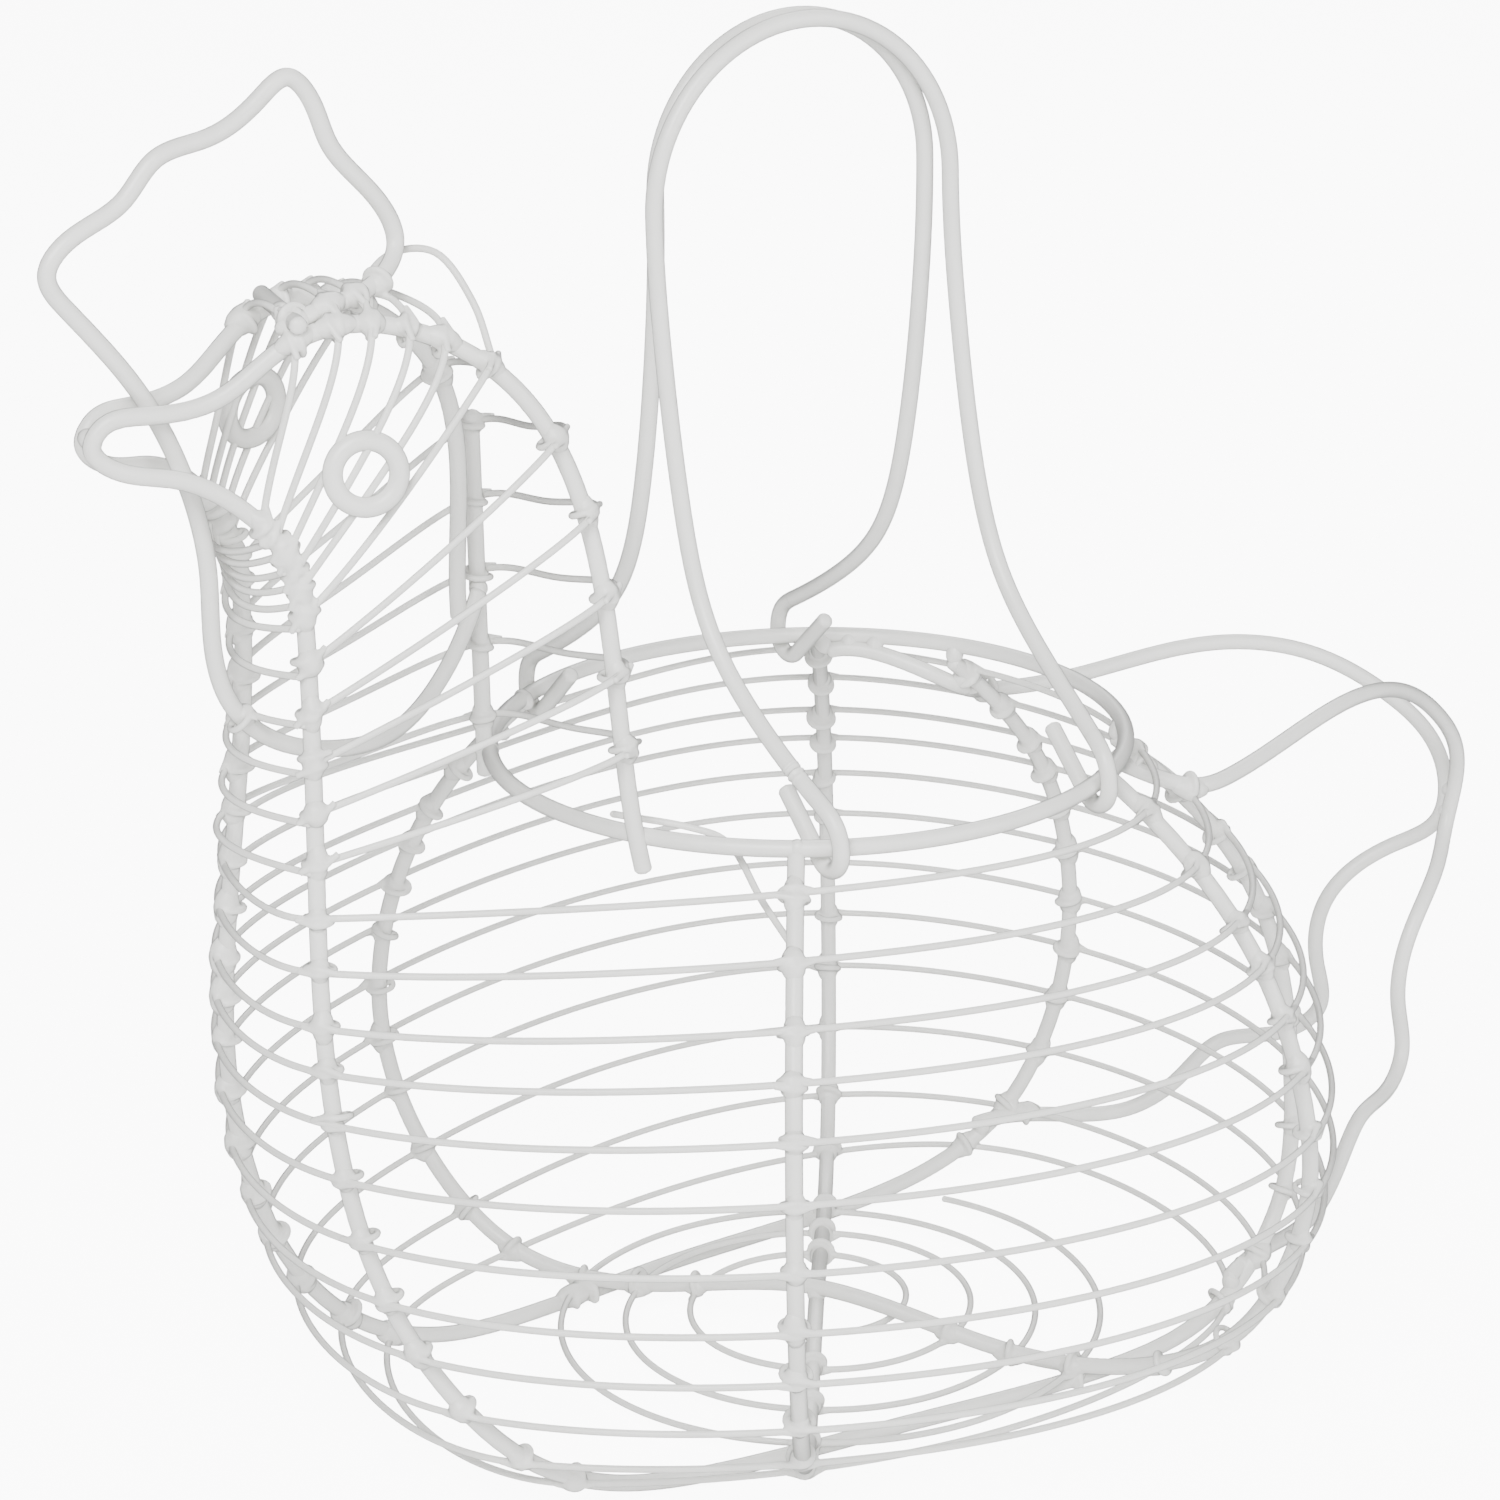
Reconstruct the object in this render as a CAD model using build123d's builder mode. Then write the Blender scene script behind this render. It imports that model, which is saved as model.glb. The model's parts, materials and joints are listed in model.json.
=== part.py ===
"""A hen-shaped basket of coated steel wire for collecting eggs.

Millimetres. The hen looks along -Y, its left side is +X, and it stands on the plane Z = 0.
The origin is on that plane, under the middle of the round rim. Thick wires make the frame:
the rim, a mirrored pair of profile wires, two diagonal ribs, the tail and two swinging handles.
Thin wires are wound round the frame as rings.
"""

import os
from math import cos, pi, radians, sin

from build123d import *

# Wire stock, measured over its coating.
WIRE = 3.4
THIN = 1.4
WELD = 0.4  # depth by which two crossing wires run into each other

# The rim, which every frame wire reaches, and the level on which the frame rests.
RIM_RADIUS = 63.4
RIM_Z = 134.0
BASE_Z = WIRE / 2

# The thin wires run on the outside of the thick ones.
WRAP_REACH = (WIRE + THIN) / 2 - WELD

# The left profile wire, in the order in which it is bent: X is its distance from the middle plane.
NECK_BACK = (
    (31.5, -57.0, 128.0),
    (29.0, -59.0, 150.0),
    (26.3, -60.0, 176.0),
    (22.8, -62.0, 196.0),
    (19.9, -69.0, 215.0),
)
HEAD = (
    (17.5, -78.0, 226.0),
    (14.5, -90.0, 233.5),
    (11.5, -104.0, 236.5),
    (9.2, -115.0, 233.5),
    (6.6, -127.0, 225.5),
)
BEAK = (
    (4.0, -140.0, 223.8),
    (2.2, -148.0, 222.5),
    (1.9, -150.0, 219.0),
    (2.6, -147.0, 215.0),
    (6.0, -136.0, 211.8),
)
BREAST = (
    (11.2, -124.0, 204.0),
    (13.2, -117.5, 194.0),
    (13.4, -115.7, 180.0),
    (14.4, -116.2, 160.0),
    (17.2, -118.2, 134.0),
    (20.4, -120.0, 108.0),
    (24.2, -119.3, 80.0),
    (28.4, -112.5, 50.0),
)
BELLY = (
    (33.6, -101.5, 28.5),
    (36.6, -87.0, 12.8),
    (38.3, -68.0, 4.0),
    (40.5, -48.0, BASE_Z),
    (44.6, -8.0, BASE_Z),
    (47.6, 42.0, BASE_Z),
)
REAR = (
    (47.6, 65.0, 6.0),
    (45.6, 80.0, 16.0),
    (43.8, 89.0, 31.0),
    (40.5, 92.5, 50.0),
    (37.4, 90.5, 78.0),
    (34.6, 82.5, 99.0),
    (31.2, 69.0, 117.0),
    (29.0, 55.0, 130.5),
)

# Right side of the neck, where the profile wire stops short and a straight post goes on to the rim.
NECK_LAP = (
    (26.0, -63.6, 164.0),
    (25.2, -63.8, 176.0),
    (22.6, -64.2, 196.0),
    (19.9, -69.0, 215.0),
)
POST_TOP_Z = 203.0
POST_BOTTOM_Z = 129.5
POST_X = -29.0
POST_Y = -57.6

# A diagonal rib hangs from the rim in an upright plane: (distance from the rim's axis, height).
RIB_ANGLE = 55.5  # from the fore-aft line
RIB_FRONT = (
    (62.4, 134.0),
    (73.0, 123.5),
    (88.0, 103.5),
    (98.0, 79.0),
    (100.3, 60.0),
    (97.5, 43.0),
    (88.0, 24.0),
    (70.0, 8.0),
)
RIB_REAR = (
    (70.0, 6.5),
    (89.0, 15.5),
    (101.0, 33.0),
    (106.0, 54.0),
    (103.5, 75.0),
    (96.0, 96.0),
    (80.0, 118.5),
    (62.4, 134.0),
)
RIB_FLOOR_RUN = 44.0  # where a rib crosses a profile wire
RIB_FLOOR_Z = BASE_Z + WIRE - WELD
LOWER_RIB_RISE = 4.0  # the floor is crowned
UPPER_RIB_RISE = LOWER_RIB_RISE + WIRE - WELD  # one rib steps over the other in the middle

# Comb and wattle, one wire in the middle plane, whose ends leave it to lap on the frame.
COMB_START = (
    (8.2, -112.0, 237.6),
    (7.6, -104.0, 239.4),
    (5.0, -94.5, 241.2),
)
COMB = (
    (-87.0, 247.5),
    (-90.0, 255.0),
    (-99.5, 267.0),
    (-103.0, 276.0),
    (-107.0, 279.8),
    (-112.5, 276.8),
    (-124.0, 270.8),
    (-133.5, 268.5),
    (-140.0, 262.0),
    (-152.5, 255.2),
    (-155.4, 251.0),
    (-152.0, 244.0),
    (-138.5, 225.5),
    (-131.0, 207.5),
    (-128.2, 191.0),
    (-128.2, 177.0),
    (-125.2, 165.5),
    (-117.0, 157.0),
)
WATTLE_END = (
    (-2.0, -103.0, 151.8),
    (-12.0, -83.0, 150.4),
    (-21.0, -67.5, 158.5),
    (-25.9, -59.2, 168.0),
)

# The left tail wire: lapped under the rim, up and out to the tip, back down to the rear ribs.
TAIL = (
    (49.0, 37.0, 131.2),
    (38.5, 48.0, 129.6),
    (31.0, 57.0, 124.6),
    (36.0, 67.5, 120.0),
    (34.6, 80.0, 119.2),
    (23.0, 120.0, 124.0),
    (16.0, 139.0, 120.3),
    (8.5, 157.0, 108.5),
    (2.4, 167.5, 92.0),
    (1.65, 165.5, 79.5),
    (7.5, 158.5, 73.5),
    (14.2, 145.0, 61.0),
    (14.2, 142.8, 47.0),
    (14.6, 144.0, 35.0),
    (18.5, 137.5, 29.6),
    (25.0, 124.0, 28.0),
    (28.5, 115.5, 20.0),
    (33.0, 105.5, 13.5),
    (42.0, 84.0, 14.0),
    (46.5, 72.5, 13.0),
)

# Eye rings on the cheeks.
EYE_RADIUS = 6.1
EYE_WIRE = 3.8
LEFT_EYE = (20.0, -105.3, 211.0)
RIGHT_EYE = (-19.0, -108.6, 215.2)
EYE_FACING = (0.95, -0.28, 0.10)  # for the left eye

# A short bar across the top of the head, behind the beak.
BAR_HALF_LENGTH = 12.5
BAR_Y = -111.0
BAR_Z = 238.0
BAR_SKEW = 2.5

# The handles hook round the rim, and swing about a fore-aft line through their two hooks.
HOOK_ANGLE = 61.0  # from the fore-aft line
HOOK_RADIUS = 4.3
HOOK_TAIL_ANGLE = 42.0  # rise of the hook's free end
HOOK_TAIL_LENGTH = 15.5
LEFT_HANDLE_HALF_WIDTH = 33.6
RIGHT_HANDLE_HALF_WIDTH = 30.6  # the narrower one
HANDLE_TOP_Z = 278.0
HANDLE_GAP = 1.0  # between the two handles where they stand side by side
# A leg, from the arch down to the hook: (X, share of the way from the hook out to the arch in Y, Z).
HANDLE_LEG = (
    (4.6, 1.0, 217.0),
    (9.5, 1.0, 191.0),
    (19.5, 1.0, 167.0),
    (35.0, 0.8, 153.5),
    (53.0, 0.3, 143.0),
)

# Thin rings round the body, in order down from the rim. They are wound by hand, so they aren't even.
BODY_RING_HEIGHTS = (128.0, 118.0, 107.5, 99.0, 89.0, 78.0, 65.0, 52.5, 40.5, 27.5, 15.0, 7.5)

# Thin rings round the neck climb towards the back of the head. Their ends lap, one under the other.
RING_LAP = Vector(0, 0, THIN)
NECK_RINGS = 6
NECK_BREAST_START = 138.0
NECK_BREAST_PITCH = 9.2
NECK_BACK_START = 152.0
NECK_BACK_PITCH = 15.0
NECK_SIDE_DROP = 11.0  # the right side of each ring meets the neck this much lower
NECK_SIDE_BULGE = 3.0
NECK_BACK_BULGE = 3.0
NECK_CENTRE_Y = -90.0

# Thin loops over the head fan out from the throat. Each has a height at the throat, a place along
# the top of the head and a distance of the cheek from the middle plane.
HEAD_LOOPS = (
    (188.5, -86.0, 20.5),
    (192.0, -92.5, 20.0),
    (195.0, -99.5, 18.0),
    (198.0, -105.5, 15.5),
    (200.5, -113.5, 12.5),
)
CROWN_RISE = 3.0

# The base is closed by a spiral.
SPIRAL_START = 17.0
SPIRAL_PITCH = 13.6
SPIRAL_TURNS = 3.3
SPIRAL_STEPS = 12  # points in each turn
SPIRAL_CENTRE = (-4.0, 2.0)
SPIRAL_Z = (BASE_Z + RIB_FLOOR_Z) / 2  # at its edge, between the profile wires and the ribs

GUIDE_OFFSET = 60.0  # from a wire to the line that guides its sweep, in X

LEFT = 1
RIGHT = -1

os.makedirs("parts", exist_ok=True)


def round_section(path, thickness):
    """The round cross-section of a wire, square to the start of its centre line."""
    with BuildSketch(Plane(origin=path @ 0, z_dir=path % 0)) as section:
        Circle(thickness / 2)
    return section.sketch


def bent_wire(points, thickness, closed=False):
    """One wire, bent smoothly through its points."""
    with BuildPart() as wire:
        with BuildLine() as path:
            Spline(*points, periodic=closed)
        sweep(round_section(path.line, thickness), path=path.line)
    return wire.part


def guided_wire(points, thickness):
    """One wire with many bends, all roughly fore-aft. A guide beside it keeps it round all along."""
    with BuildPart() as wire:
        with BuildLine() as path:
            Spline(*points)
        guide = path.wire().moved(Location((GUIDE_OFFSET, 0, 0)))
        sweep(round_section(path.line, thickness), path=path.wire(), binormal=guide)
    return wire.part


def save(part, name):
    """Label a finished piece and write its file."""
    part.label = name
    export_step(part, f"parts/{name}.step")


def mirrored(part):
    """The same piece for the hen's other side."""
    with BuildPart() as other:
        mirror(part, about=Plane.YZ)
    return other.part


# Rim
with BuildPart() as rim_ring:
    with BuildLine(Plane.XY.offset(RIM_Z)) as rim_path:
        CenterArc((0, 0), RIM_RADIUS, 0, 360)
    sweep(round_section(rim_path.line, WIRE), path=rim_path.line)
save(rim_ring.part, "rim_ring")

# Profile wires: the left one reaches the rim at both ends, the right one stops behind the neck.
profile_points = NECK_BACK + HEAD + BEAK + BREAST + BELLY + REAR
lapped_points = NECK_LAP + HEAD + BEAK + BREAST + BELLY + REAR
save(guided_wire(profile_points, WIRE), "left_profile_wire")
save(mirrored(guided_wire(lapped_points, WIRE)), "right_profile_wire")

with BuildPart() as right_neck_post:
    with BuildLine() as post_path:
        Line((POST_X, POST_Y, POST_BOTTOM_Z), (POST_X, POST_Y, POST_TOP_Z))
    sweep(round_section(post_path.line, WIRE), path=post_path.line)
save(right_neck_post.part, "right_neck_post")


# Diagonal ribs
def rib_points(side, rise):
    """One rib from the front rim on its side, across the floor, to the rear rim on the other side."""
    across = side * sin(radians(RIB_ANGLE))
    along = cos(radians(RIB_ANGLE))
    floor = ((-RIB_FLOOR_RUN, RIB_FLOOR_Z), (0, RIB_FLOOR_Z + rise), (RIB_FLOOR_RUN, RIB_FLOOR_Z))
    flat = tuple((-reach, height) for reach, height in RIB_FRONT) + floor + RIB_REAR
    return [(-reach * across, reach * along, height) for reach, height in flat]


save(bent_wire(rib_points(RIGHT, UPPER_RIB_RISE), WIRE), "upper_diagonal_rib")
save(bent_wire(rib_points(LEFT, LOWER_RIB_RISE), WIRE), "lower_diagonal_rib")

# Comb and wattle
comb_points = COMB_START + tuple((0, y, z) for y, z in COMB) + WATTLE_END
save(guided_wire(comb_points, WIRE), "comb_wattle_wire")

# Head bar
with BuildPart() as head_bar:
    with BuildLine() as bar_path:
        Line((-BAR_HALF_LENGTH, BAR_Y + BAR_SKEW, BAR_Z), (BAR_HALF_LENGTH, BAR_Y - BAR_SKEW, BAR_Z))
    sweep(round_section(bar_path.line, WIRE), path=bar_path.line)
save(head_bar.part, "head_bar")

# Tail
left_tail = bent_wire(TAIL, WIRE)
save(left_tail, "left_tail_wire")
save(mirrored(left_tail), "right_tail_wire")

# Eyes
for name, centre, side in (("left_eye_ring", LEFT_EYE, LEFT), ("right_eye_ring", RIGHT_EYE, RIGHT)):
    facing_x, facing_y, facing_z = EYE_FACING
    with BuildPart() as eye_ring:
        with BuildLine(Plane(origin=centre, z_dir=(side * facing_x, facing_y, facing_z))) as eye_path:
            CenterArc((0, 0), EYE_RADIUS, 0, 360)
        sweep(round_section(eye_path.line, EYE_WIRE), path=eye_path.line)
    save(eye_ring.part, name)

# Handles
hook_x = RIM_RADIUS * sin(radians(HOOK_ANGLE))
hook_y = RIM_RADIUS * cos(radians(HOOK_ANGLE))
handle_x = (WIRE + HANDLE_GAP) / 2
tail_x = cos(radians(HOOK_TAIL_ANGLE))
tail_z = sin(radians(HOOK_TAIL_ANGLE))


def swing_handle(half_width):
    """The left handle. Its rear half is bent from the top of the arch down to the hook's free end."""
    arch_top = Vector(handle_x, 0, HANDLE_TOP_Z)
    arch_end = Vector(handle_x, half_width, HANDLE_TOP_Z - half_width)
    leg = [Vector(x, hook_y + share * (half_width - hook_y), z) for x, share, z in HANDLE_LEG]
    outer = Vector(hook_x + HOOK_RADIUS, hook_y, RIM_Z)
    bottom = Vector(hook_x, hook_y, RIM_Z - HOOK_RADIUS)
    touch = Vector(hook_x - HOOK_RADIUS * tail_z, hook_y, RIM_Z - HOOK_RADIUS * tail_x)
    free = touch + Vector(-tail_x, 0, tail_z) * HOOK_TAIL_LENGTH
    down = (0, 0, -1)
    with BuildPart() as handle:
        with BuildLine() as path:
            TangentArc(arch_top, arch_end, tangent=(0, 1, 0))
            Spline(arch_end, *leg, outer, tangents=(down, down))
            ThreePointArc(outer, bottom, touch)
            Line(touch, free)
            mirror(about=Plane.XZ)
        sweep(round_section(path.wire(), WIRE), path=path.wire())
    return handle.part


save(swing_handle(LEFT_HANDLE_HALF_WIDTH), "left_handle")
save(mirrored(swing_handle(RIGHT_HANDLE_HALF_WIDTH)), "right_handle")

# Centre lines of the frame wires that the thin rings cross.
with BuildLine() as left_profile_line:
    Spline(*profile_points)
with BuildLine() as left_rib_line:
    Spline(*rib_points(LEFT, LOWER_RIB_RISE))
with BuildLine() as right_rib_line:
    Spline(*rib_points(RIGHT, UPPER_RIB_RISE))


def crossings(path, plane):
    """Points where a frame wire passes through a plane, from the hen's front to its rear."""
    return sorted((Vector(*vertex) for vertex in path.intersect(plane).vertices()), key=lambda p: p.Y)


def at_height(path, height):
    """Points where a frame wire passes a height, from the hen's front to its rear."""
    return crossings(path, Plane.XY.offset(height))


def push_out(point, centre_y=0.0):
    """Move a point on a wire's centre line out to the thin wire that runs over it."""
    outward = Vector(point.X, point.Y - centre_y, 0).normalized()
    return point + outward * WRAP_REACH


def flip(point):
    """The same point on the hen's other side."""
    return Vector(-point.X, point.Y, point.Z)


# Body rings
for number, height in enumerate(BODY_RING_HEIGHTS, start=1):
    profile = at_height(left_profile_line.line, height)
    left_rib = at_height(left_rib_line.line, height)
    right_rib = at_height(right_rib_line.line, height)
    breast = push_out(profile[0])
    rump = push_out(profile[-1])
    front_rib = push_out(left_rib[0])
    rear_rib = push_out(right_rib[-1])
    left_side = [breast, front_rib, rear_rib, rump]
    ring = left_side + [flip(point) for point in reversed(left_side)]
    save(bent_wire(ring, THIN, closed=True), f"body_ring_{number:02d}")

# Neck rings
for number in range(NECK_RINGS):
    breast_z = NECK_BREAST_START + number * NECK_BREAST_PITCH
    left_z = NECK_BACK_START + number * NECK_BACK_PITCH
    right_z = left_z - NECK_SIDE_DROP
    front = push_out(at_height(left_profile_line.line, breast_z)[0], NECK_CENTRE_Y)
    left_back = push_out(at_height(left_profile_line.line, left_z)[-1], NECK_CENTRE_Y)
    if right_z < POST_TOP_Z:
        right_back = push_out(Vector(POST_X, POST_Y, right_z), NECK_CENTRE_Y)
    else:
        right_back = flip(push_out(at_height(left_profile_line.line, right_z)[-1], NECK_CENTRE_Y))
    left_middle = (front + left_back) / 2 + Vector(NECK_SIDE_BULGE, 0, 0)
    right_middle = (flip(front) + right_back) / 2 - Vector(NECK_SIDE_BULGE, 0, 0)
    nape = (left_back + right_back) / 2 + Vector(0, NECK_BACK_BULGE, 0)
    ring = [front, left_middle, left_back, nape, right_back, right_middle, flip(front), front - RING_LAP]
    save(bent_wire(ring, THIN), f"neck_ring_{number + 1}")

# Head loops
for number, (throat_z, crown_y, cheek_x) in enumerate(HEAD_LOOPS, start=1):
    throat = push_out(at_height(left_profile_line.line, throat_z)[0], NECK_CENTRE_Y)
    temple = max(crossings(left_profile_line.line, Plane.XZ.offset(-crown_y)), key=lambda p: p.Z)
    temple += Vector(0, 0, WRAP_REACH)
    cheek = (throat + temple) / 2
    cheek = Vector(cheek_x, cheek.Y, cheek.Z)
    crown = Vector(0, temple.Y, temple.Z + CROWN_RISE)
    left_side = [throat, cheek, temple]
    ring = left_side + [crown] + [flip(point) for point in reversed(left_side)] + [throat - RING_LAP]
    save(bent_wire(ring, THIN), f"head_loop_{number}")


# Base spiral
def spiral_point(step):
    """A point on the spiral, counted from its inner end."""
    turn = step / SPIRAL_STEPS
    radius = SPIRAL_START + SPIRAL_PITCH * turn
    centre_x, centre_y = SPIRAL_CENTRE
    crown = LOWER_RIB_RISE * max(0.0, 1 - (radius / RIB_FLOOR_RUN) ** 2)
    x = centre_x + radius * cos(2 * pi * turn)
    y = centre_y + radius * sin(2 * pi * turn)
    return x, y, SPIRAL_Z + crown


last_step = round(SPIRAL_TURNS * SPIRAL_STEPS)
save(bent_wire([spiral_point(step) for step in range(last_step + 1)], THIN), "base_spiral")
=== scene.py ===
"""Looks for the egg collection basket: its dip coating, the turns of thin wire, light and camera.

Metres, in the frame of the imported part: the hen looks along -Y and its left side is +X.
"""

import json
import math
import random

import bmesh
import bpy
from mathutils import Matrix, Vector
from mathutils.kdtree import KDTree

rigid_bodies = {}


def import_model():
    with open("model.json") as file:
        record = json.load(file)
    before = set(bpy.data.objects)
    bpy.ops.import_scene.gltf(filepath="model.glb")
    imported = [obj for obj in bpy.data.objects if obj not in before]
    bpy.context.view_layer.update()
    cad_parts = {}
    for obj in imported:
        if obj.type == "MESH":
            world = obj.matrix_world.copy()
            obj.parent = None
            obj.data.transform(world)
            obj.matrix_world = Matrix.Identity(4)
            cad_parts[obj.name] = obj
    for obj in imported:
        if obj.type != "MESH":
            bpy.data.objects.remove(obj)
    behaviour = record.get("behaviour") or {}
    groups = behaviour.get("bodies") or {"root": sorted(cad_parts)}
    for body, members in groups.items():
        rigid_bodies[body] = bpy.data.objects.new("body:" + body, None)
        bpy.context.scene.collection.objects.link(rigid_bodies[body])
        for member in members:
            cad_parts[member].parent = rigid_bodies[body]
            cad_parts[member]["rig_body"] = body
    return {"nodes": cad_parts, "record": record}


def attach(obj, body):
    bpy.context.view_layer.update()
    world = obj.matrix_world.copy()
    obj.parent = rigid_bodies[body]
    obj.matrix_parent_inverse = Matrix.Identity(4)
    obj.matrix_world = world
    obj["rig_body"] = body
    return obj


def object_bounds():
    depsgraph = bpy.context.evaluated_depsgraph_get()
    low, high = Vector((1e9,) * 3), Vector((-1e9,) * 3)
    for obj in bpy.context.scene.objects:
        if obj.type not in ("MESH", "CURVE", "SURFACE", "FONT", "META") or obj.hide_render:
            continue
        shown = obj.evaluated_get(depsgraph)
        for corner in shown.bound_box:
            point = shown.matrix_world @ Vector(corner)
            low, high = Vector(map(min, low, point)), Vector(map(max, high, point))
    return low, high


MM = 0.001
WIRE_RADIUS = 1.7 * MM
THIN_RADIUS = 0.7 * MM
EYE_WIRE_RADIUS = 1.9 * MM

# How the crossings of wires are found on the CAD meshes.
POINT_SPACING = 0.5 * MM
TOUCH_SLACK = 0.4 * MM
CROSSING_SPACING = 5.0 * MM  # two crossings of the same wires are at least this far apart
TANGENT_REACH = 3.0 * MM
FLAT_COSINE = 0.9995  # faces that meet at a smaller angle than this are one flat face
CAP_CORNERS = 8  # a wire's cap has at least this many corners
CAP_FIT = (0.85, 1.15)  # how near a cap's corners are to the wire's radius from its middle
PARALLEL_COSINE = 0.9  # wires closer to parallel than this are lapped, so nothing is wound there

# A turn of thin wire round a thick one.
TURN_STEPS = 18
TURN_SINK = 0.25 * MM  # how far it lies in the coating
TURN_PITCH = (1.2 * MM, 2.4 * MM)
TURN_LOOSE = (0.0, 1.1 * MM)
LEAD_IN = 4.0 * MM

# Coating gathered at the crossings.
LUMP_RADIUS = (1.9 * MM, 2.6 * MM)
LUMP_LENGTH = (2.8 * MM, 4.6 * MM)
LUMP_OFFSET = 0.4 * MM
ROPE_WIRES = ("right_profile_wire",)  # its coating is so thick that it looks like a rope
ROPE_LUMP_RADIUS = (2.4 * MM, 3.0 * MM)
ROPE_LUMP_LENGTH = (3.8 * MM, 5.0 * MM)
WELD_RADIUS = 2.0 * MM
SKIN_VOXEL = 0.32 * MM
SKIN_SMOOTHING = 5

END_ROUNDING = 0.55  # height of a rounded wire end, as a share of the wire's radius

# The eye rings are plain: no thin wire winds round them.
BARE_WIRES = ("left_eye_ring", "right_eye_ring")

# A white room. The camera sees it brighter than it lights the basket, so the wires stand out.
ROOM_SEEN = 15.0
ROOM_LIGHT = 0.35
FLOOR_GLOW = 9.0
# Painted shade on the wires' edges: the base colour darkens where a wire turns away from the camera,
# standing in for the dark edges the lighting gives. Edges darken only a little: the shader can't tell an
# edge from a wire that points at the camera.
PAINTED_EDGE_SHADE = (0.15, 0.15, 0.15)
PAINTED_EDGE_RANGE = (0.50, 0.95)  # where the darkening starts and ends, from 0 facing the camera to 1 edge on
FACING_REFLECTION = 0.5  # share of the plain reflection of plastic, which fades out with the darkening

# The camera stands in front of the hen, on its left.
CAMERA_PLACE = Vector((0.7304, -0.4616, 0.4417))
CAMERA_RIGHT = Vector((0.52872, 0.84858, -0.01929))
CAMERA_UP = Vector((-0.27765, 0.19438, 0.94081))
CAMERA_BACK = Vector((0.80210, -0.49207, 0.33838))
CAMERA_LENS = 110.24
CAMERA_SENSOR = 36.0

# Thin wires that lie loose: one end left inside the rim, and one arch behind the comb.
LOOSE_WIRES = {
    "stray_wire_end": ((19, -56, 135), (29, -45, 133), (37, -41, 131), (51, -43, 125), (63, -44, 120)),
    "high_crown_wire": ((-14, -90, 233), (-6, -86, 243), (4, -81, 245), (12, -78, 237), (17, -77, 227)),
}

chance = random.Random(11)


# Finding the wires


def add_to_flat(flats, corner, normal, radius):
    """Add a corner to the flat face it belongs to, or start a new one. A flat is (normal, corners)."""
    for flat_normal, corners in flats:
        if flat_normal.dot(normal) > FLAT_COSINE and (corners[0] - corner).length < radius * 2.1:
            corners.append(corner)
            return
    flats.append((normal, [corner]))


def cap_end(normal, corners, radius):
    """The end of a wire as (middle, outward direction), if these corners go all the way round its cap."""
    if len(corners) < CAP_CORNERS:
        return None
    middle = sum(corners, Vector()) / len(corners)
    reaches = [(corner - middle).length for corner in corners]
    if min(reaches) < radius * CAP_FIT[0] or max(reaches) > radius * CAP_FIT[1]:
        return None
    return middle, normal


def wire_points(node, radius):
    """Points on a wire's centre line, and its ends as (point, outward direction), from its mesh."""
    mesh = node.data
    normals_at = [[] for _ in mesh.vertices]
    for polygon in mesh.polygons:
        for index in polygon.vertices:
            normals_at[index].append(polygon.normal)
    centres = {}
    flats = []
    for vertex, normals in zip(mesh.vertices, normals_at):
        if all(normal.dot(normals[0]) > FLAT_COSINE for normal in normals):
            add_to_flat(flats, vertex.co.copy(), normals[0].copy(), radius)
        else:
            centres[vertex.index] = vertex.co - vertex.normal * radius
    found = {}
    for edge in mesh.edges:
        if edge.vertices[0] not in centres or edge.vertices[1] not in centres:
            continue
        start, end = (centres[index] for index in edge.vertices)
        steps = max(1, int((end - start).length / POINT_SPACING))
        for step in range(steps + 1):
            point = start.lerp(end, step / steps)
            found[tuple(round(value / POINT_SPACING) for value in point)] = point
    caps = [cap_end(normal, corners, radius) for normal, corners in flats]
    return list(found.values()), [cap for cap in caps if cap]


def search_tree(points):
    """A tree to look up the nearest of these points."""
    tree = KDTree(len(points))
    for index, point in enumerate(points):
        tree.insert(point, index)
    tree.balance()
    return tree


def direction_at(tree, place):
    """Direction of a wire near a place on it."""
    near = [Vector(found[0]) for found in tree.find_range(place, TANGENT_REACH)]
    far_end = max(near, key=lambda point: (point - place).length)
    other_end = max(near, key=lambda point: (point - far_end).length)
    return (far_end - other_end).normalized()


def crossings(points, tree, reach):
    """Where a wire comes within reach of another: (place on the first, place on the second)."""
    touching = []
    for point in points:
        place, _, distance = tree.find(point)
        if distance < reach:
            touching.append((distance, point, Vector(place)))
    touching.sort(key=lambda found: found[0])
    kept = []
    for _, point, place in touching:
        if all((point - other).length > CROSSING_SPACING for other, _ in kept):
            kept.append((point, place))
    return kept


# Making wire and coating


def add_tube(mesh, points, radius, sides=10):
    """Add a round wire with closed ends."""
    normal = (points[1] - points[0]).orthogonal().normalized()
    rings = []
    for index, point in enumerate(points):
        before = points[max(index - 1, 0)]
        after = points[min(index + 1, len(points) - 1)]
        tangent = (after - before).normalized()
        normal = (normal - tangent * normal.dot(tangent)).normalized()
        sideways = tangent.cross(normal)
        ring = []
        for side in range(sides):
            angle = 2 * math.pi * side / sides
            offset = normal * math.cos(angle) + sideways * math.sin(angle)
            ring.append(mesh.verts.new(point + offset * radius))
        rings.append(ring)
    for ring, following in zip(rings, rings[1:]):
        for side in range(sides):
            after = (side + 1) % sides
            mesh.faces.new((ring[side], ring[after], following[after], following[side]))
    mesh.faces.new(list(reversed(rings[0])))
    mesh.faces.new(rings[-1])


def add_lump(mesh, place, axis, radius, half_length):
    """Add a drop of coating, drawn out along an axis."""
    turn = axis.to_track_quat("Z", "Y").to_matrix().to_4x4()
    size = Matrix.Diagonal((radius, radius, half_length, 1))
    matrix = Matrix.Translation(place) @ turn @ size
    bmesh.ops.create_icosphere(mesh, subdivisions=2, radius=1, matrix=matrix)


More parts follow.
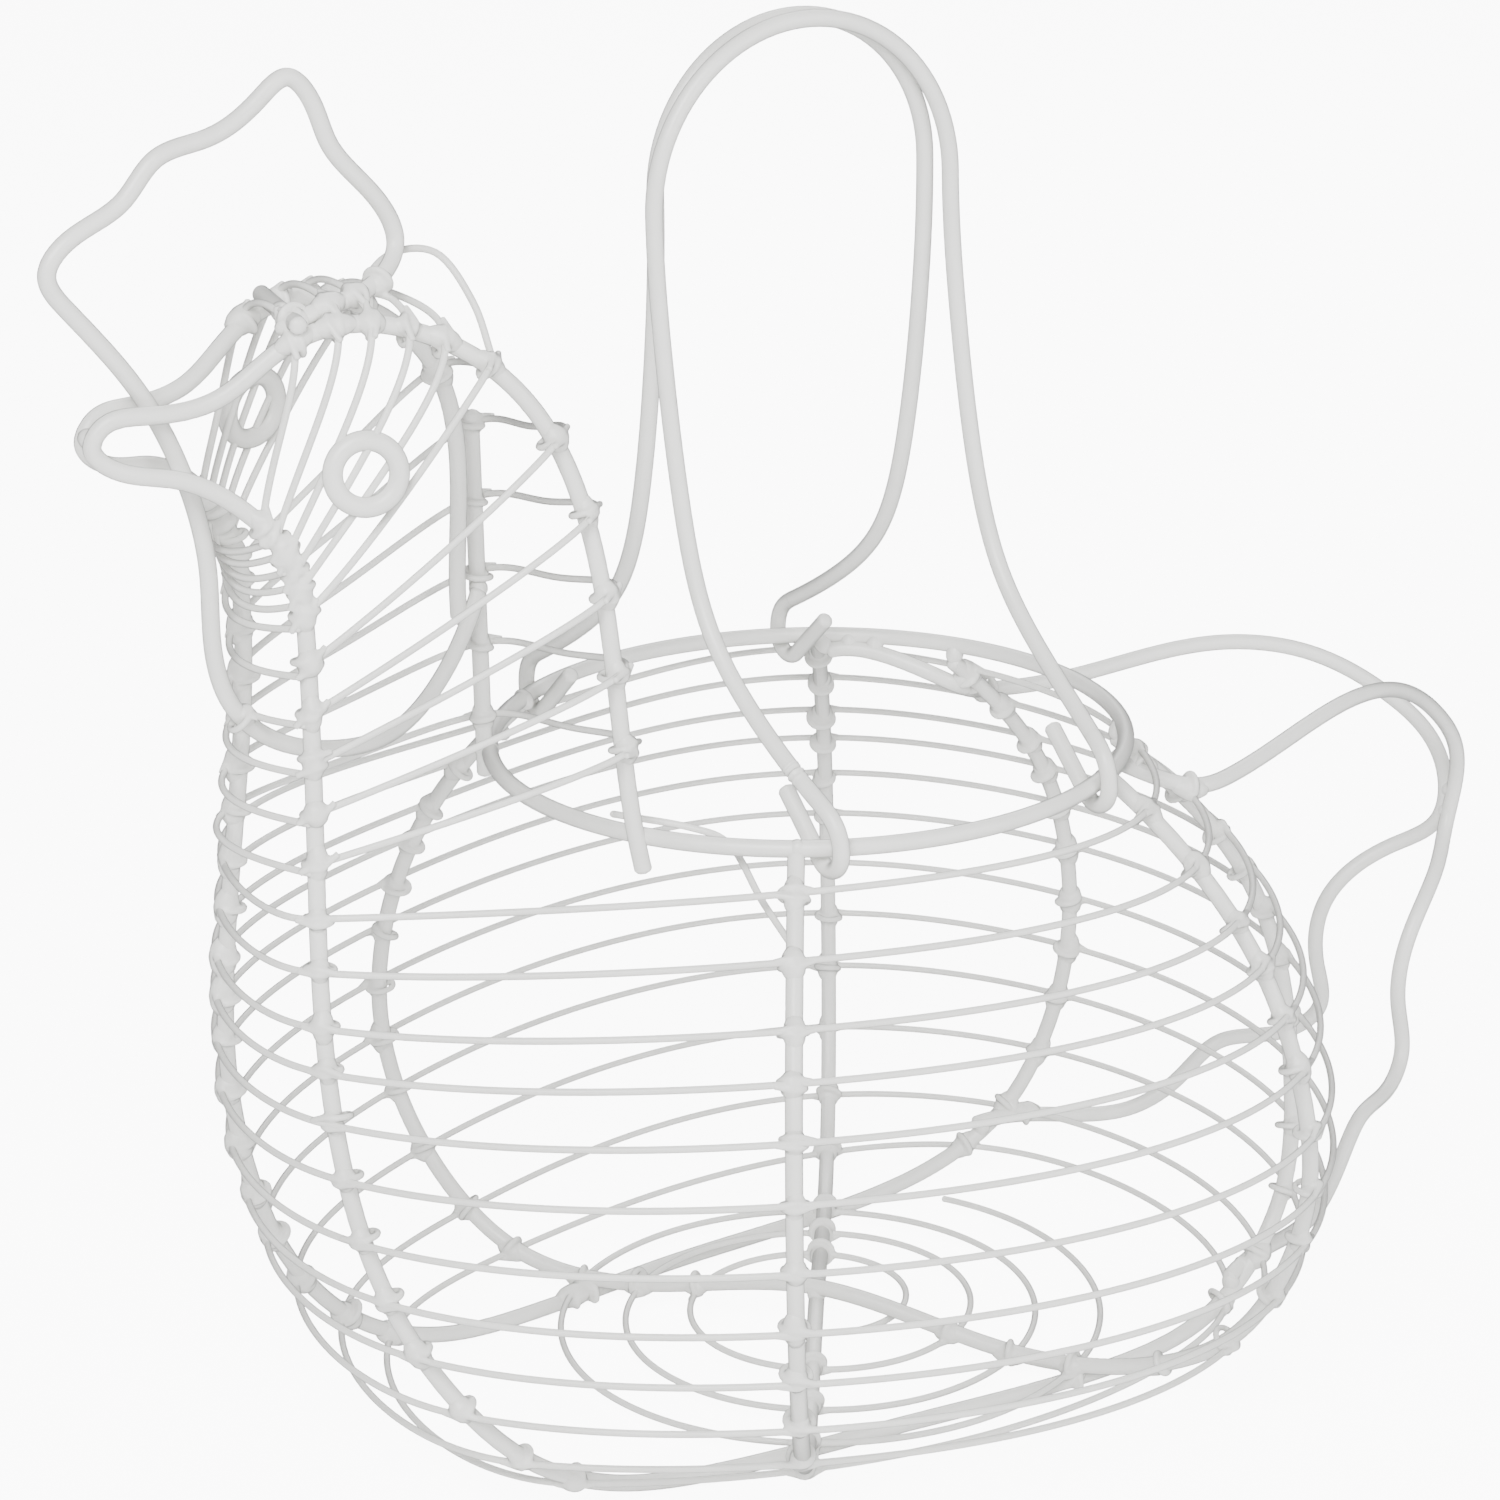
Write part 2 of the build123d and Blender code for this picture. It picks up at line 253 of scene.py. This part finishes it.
def smooth_line(points, steps=8):
    """More points along a smooth line through a few."""
    padded = [points[0] * 2 - points[1]] + points + [points[-1] * 2 - points[-2]]
    line = []
    for first, second, third, fourth in zip(padded, padded[1:], padded[2:], padded[3:]):
        for step in range(steps):
            share = step / steps
            rise = (third - first) * share
            bend = (first * 2 - second * 5 + third * 4 - fourth) * share**2
            turn = (second * 3 - first - third * 3 + fourth) * share**3
            line.append(second + (rise + bend + turn) / 2)
    return line + [points[-1]]


def raised(place, radius, ground):
    """The place, lifted where something of this radius would go below the ground."""
    return Vector((place.x, place.y, max(place.z, ground + radius)))


def turn_line(thin_place, thick_place, along, axis, ground):
    """One loose turn round a thick wire, led in from the thin wire and out to it again."""
    out = thin_place - thick_place
    out = (out - axis * out.dot(axis)).normalized()
    sideways = axis.cross(out)
    if sideways.dot(along) < 0:
        sideways.negate()
    pitch = chance.uniform(*TURN_PITCH) * chance.choice((-1, 1))
    loose = chance.uniform(*TURN_LOOSE)
    reach = WIRE_RADIUS + THIN_RADIUS - TURN_SINK
    line = [thin_place - along * LEAD_IN]
    for step in range(TURN_STEPS + 1):
        share = step / TURN_STEPS
        angle = 2 * math.pi * share
        radius = reach + loose * math.sin(math.pi * share) ** 2
        ring = out * math.cos(angle) + sideways * math.sin(angle)
        line.append(thick_place + ring * radius + axis * pitch * (share - 0.5))
    line.append(thin_place + along * LEAD_IN)
    return [raised(point, THIN_RADIUS, ground) for point in line]


def build(name, mesh, slot, body, skin=False):
    """Turn a built mesh into a coated piece that rides on a body. A skin melts its parts together."""
    bmesh.ops.recalc_face_normals(mesh, faces=mesh.faces)
    data = bpy.data.meshes.new(name)
    mesh.to_mesh(data)
    mesh.free()
    piece = bpy.data.objects.new(name, data)
    bpy.context.scene.collection.objects.link(piece)
    if skin:
        melt = piece.modifiers.new("melt", "REMESH")
        melt.mode = "VOXEL"
        melt.voxel_size = SKIN_VOXEL
        soften = piece.modifiers.new("soften", "SMOOTH")
        soften.iterations = SKIN_SMOOTHING
        soften.factor = 0.5
        bpy.context.view_layer.update()
        evaluated = piece.evaluated_get(bpy.context.evaluated_depsgraph_get())
        melted = bpy.data.meshes.new_from_object(evaluated)
        piece.modifiers.clear()
        piece.data = melted
    piece.data.materials.clear()
    piece.data.materials.append(coats[slot])
    piece.data.shade_smooth()
    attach(piece, body)
    return piece


def coating(name, light, shade, roughness):
    """Off-white dip coating: uneven in tone, slightly wavy, with painted shade that makes it a little
    darker where it turns away from the camera.
    """
    material = bpy.data.materials.new(name)
    material.use_nodes = True
    tree = material.node_tree
    surface = tree.nodes["Principled BSDF"]
    place = tree.nodes.new("ShaderNodeTexCoord")

    clouds = tree.nodes.new("ShaderNodeTexNoise")
    clouds.inputs["Scale"].default_value = 35
    clouds.inputs["Detail"].default_value = 4
    tone = tree.nodes.new("ShaderNodeValToRGB")
    tone.color_ramp.elements[0].position = 0.35
    tone.color_ramp.elements[0].color = (*shade, 1)
    tone.color_ramp.elements[1].position = 0.65
    tone.color_ramp.elements[1].color = (*light, 1)

    # Painted shade: the colour is multiplied darker towards the edges as seen from the camera, and the
    # reflection fades out there with it.
    facing = tree.nodes.new("ShaderNodeLayerWeight")
    facing.inputs["Blend"].default_value = 0.5
    edge = tree.nodes.new("ShaderNodeValToRGB")
    edge.color_ramp.elements[0].position = PAINTED_EDGE_RANGE[0]
    edge.color_ramp.elements[0].color = (1, 1, 1, 1)
    edge.color_ramp.elements[1].position = PAINTED_EDGE_RANGE[1]
    edge.color_ramp.elements[1].color = (*PAINTED_EDGE_SHADE, 1)
    painted_edge_shade_mix = tree.nodes.new("ShaderNodeMix")
    painted_edge_shade_mix.data_type = "RGBA"
    painted_edge_shade_mix.blend_type = "MULTIPLY"
    painted_edge_shade_mix.inputs["Factor"].default_value = 1.0

    reflection = tree.nodes.new("ShaderNodeMath")
    reflection.operation = "MULTIPLY"
    reflection.inputs[1].default_value = FACING_REFLECTION

    waves = tree.nodes.new("ShaderNodeTexNoise")
    waves.inputs["Scale"].default_value = 420
    waves.inputs["Detail"].default_value = 2
    bump = tree.nodes.new("ShaderNodeBump")
    bump.inputs["Strength"].default_value = 0.35
    bump.inputs["Distance"].default_value = 0.15 * MM

    link = tree.links.new
    link(place.outputs["Object"], clouds.inputs["Vector"])
    link(place.outputs["Object"], waves.inputs["Vector"])
    link(clouds.outputs["Fac"], tone.inputs["Fac"])
    link(facing.outputs["Facing"], edge.inputs["Fac"])
    link(tone.outputs["Color"], painted_edge_shade_mix.inputs[6])
    link(edge.outputs["Color"], painted_edge_shade_mix.inputs[7])
    link(painted_edge_shade_mix.outputs[2], surface.inputs["Base Color"])
    link(edge.outputs["Color"], reflection.inputs[0])
    link(reflection.outputs[0], surface.inputs["Specular IOR Level"])
    link(waves.outputs["Fac"], bump.inputs["Height"])
    link(bump.outputs["Normal"], surface.inputs["Normal"])
    surface.inputs["Roughness"].default_value = roughness
    return material


def area_light(name, place, size, power):
    """A soft light that points at the middle of the basket."""
    light = bpy.data.lights.new(name, "AREA")
    light.shape = "DISK"
    light.size = size
    light.energy = power
    lamp = bpy.data.objects.new(name, light)
    bpy.context.scene.collection.objects.link(lamp)
    lamp.location = place
    lamp.rotation_euler = (Vector((0, 0, 0.13)) - Vector(place)).to_track_quat("-Z", "Y").to_euler()


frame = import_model()
cad_low, cad_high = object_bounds()

# The coating of each of the record's material slots
coats = {
    "frame_wire": coating("frame_wire", (0.90, 0.90, 0.87), (0.84, 0.84, 0.81), 0.32),
    "winding_wire": coating("winding_wire", (0.88, 0.88, 0.85), (0.81, 0.81, 0.78), 0.38),
}
slot_of = {part["node"]: part["material_slot"] for part in frame["record"]["subparts"]}
body_of = {name: node["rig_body"] for name, node in frame["nodes"].items()}

# The CAD wires
points_of, ends_of, trees, radius_of = {}, {}, {}, {}
for name, node in frame["nodes"].items():
    node.data.materials.clear()
    node.data.materials.append(coats[slot_of[name]])
    if slot_of[name] == "winding_wire":
        radius_of[name] = THIN_RADIUS
    elif "eye" in name:
        radius_of[name] = EYE_WIRE_RADIUS
    else:
        radius_of[name] = WIRE_RADIUS
    points_of[name], ends_of[name] = wire_points(node, radius_of[name])
    trees[name] = search_tree(points_of[name])

fixed = [name for name in sorted(frame["nodes"]) if body_of[name] == "basket"]
thick = [name for name in fixed if slot_of[name] == "frame_wire"]
thin = [name for name in fixed if slot_of[name] == "winding_wire"]

# Turns of thin wire and drops of coating, where thin wires cross a thick one
turns = 0
for thick_name in thick:
    if thick_name in BARE_WIRES:
        continue
    rope = thick_name in ROPE_WIRES
    lump_radius = ROPE_LUMP_RADIUS if rope else LUMP_RADIUS
    lump_length = ROPE_LUMP_LENGTH if rope else LUMP_LENGTH
    coat = bmesh.new()
    for thin_name in thin:
        reach = radius_of[thick_name] + THIN_RADIUS + TOUCH_SLACK
        for thin_place, thick_place in crossings(points_of[thin_name], trees[thick_name], reach):
            axis = direction_at(trees[thick_name], thick_place)
            along = direction_at(trees[thin_name], thin_place)
            out = (thin_place - thick_place).normalized()
            if abs(axis.dot(along)) < PARALLEL_COSINE:
                line = turn_line(thin_place, thick_place, along, axis, cad_low.z)
                add_tube(coat, line, THIN_RADIUS)
                turns += 1
            radius = chance.uniform(*lump_radius)
            middle = raised(thick_place + out * LUMP_OFFSET, radius, cad_low.z)
            add_lump(coat, middle, axis, radius, chance.uniform(*lump_length))
    if coat.verts:
        build(f"turns_on_{thick_name}", coat, "winding_wire", "basket", skin=True)
    else:
        coat.free()

# Welds, where two thick wires meet
welds = bmesh.new()
for index, first in enumerate(thick):
    for second in thick[index + 1 :]:
        reach = radius_of[first] + radius_of[second] + TOUCH_SLACK
        for first_place, second_place in crossings(points_of[first], trees[second], reach):
            middle = (first_place + second_place) / 2
            across = first_place - second_place
            if across.length < MM / 2:
                across = direction_at(trees[first], first_place)
            add_lump(welds, middle, across.normalized(), WELD_RADIUS, WELD_RADIUS * 1.3)
build("weld_coating", welds, "frame_wire", "basket", skin=True)

# Rounded wire ends
for name, ends in ends_of.items():
    if not ends:
        continue
    domes = bmesh.new()
    for place, outward in ends:
        add_lump(domes, place, outward, radius_of[name], radius_of[name] * END_ROUNDING)
    build(f"rounded_ends_{name}", domes, slot_of[name], body_of[name])

# Loose thin wires
for name, places in LOOSE_WIRES.items():
    wire = bmesh.new()
    line = smooth_line([Vector(place) * MM for place in places])
    add_tube(wire, line, THIN_RADIUS, sides=14)
    for end in (line[0], line[-1]):
        add_lump(wire, end, Vector((0, 0, 1)), THIN_RADIUS, THIN_RADIUS)
    build(name, wire, "winding_wire", "basket")

# Floor, light and camera
bpy.ops.mesh.primitive_plane_add(size=40, location=(0, 0, cad_low.z))
floor = bpy.context.object
floor.name = "floor"
floor_paint = bpy.data.materials.new("floor_paint")
floor_paint.use_nodes = True
paint = floor_paint.node_tree.nodes["Principled BSDF"]
paint.inputs["Base Color"].default_value = (0.94, 0.94, 0.94, 1)
paint.inputs["Roughness"].default_value = 0.9
paint.inputs["Emission Color"].default_value = (1, 1, 1, 1)
seen = floor_paint.node_tree.nodes.new("ShaderNodeLightPath")
glow = floor_paint.node_tree.nodes.new("ShaderNodeMath")
glow.operation = "MULTIPLY"
glow.inputs[1].default_value = FLOOR_GLOW
floor_paint.node_tree.links.new(seen.outputs["Is Camera Ray"], glow.inputs[0])
floor_paint.node_tree.links.new(glow.outputs[0], paint.inputs["Emission Strength"])
floor.data.materials.append(floor_paint)

world = bpy.data.worlds.new("studio")
world.use_nodes = True
room = world.node_tree.nodes["Background"]
room.inputs["Color"].default_value = (1, 1, 1, 1)
seen = world.node_tree.nodes.new("ShaderNodeLightPath")
strength = world.node_tree.nodes.new("ShaderNodeMapRange")
strength.inputs["To Min"].default_value = ROOM_LIGHT
strength.inputs["To Max"].default_value = ROOM_SEEN
world.node_tree.links.new(seen.outputs["Is Camera Ray"], strength.inputs["Value"])
world.node_tree.links.new(strength.outputs["Result"], room.inputs["Strength"])
bpy.context.scene.world = world
area_light("key_light", (0.9, -0.9, 1.2), 1.0, 42)
area_light("fill_light", (1.3, 0.5, 0.6), 1.2, 14)
area_light("back_light", (-1.0, 0.8, 1.1), 1.0, 14)

camera_data = bpy.data.cameras.new("camera")
camera_data.lens = CAMERA_LENS
camera_data.sensor_width = CAMERA_SENSOR
camera_data.clip_start = 0.01
camera = bpy.data.objects.new("camera", camera_data)
bpy.context.scene.collection.objects.link(camera)
turn = Matrix((CAMERA_RIGHT, CAMERA_UP, CAMERA_BACK)).transposed().to_4x4()
camera.matrix_world = Matrix.Translation(CAMERA_PLACE) @ turn
bpy.context.scene.camera = camera

print("turns of thin wire:", turns)
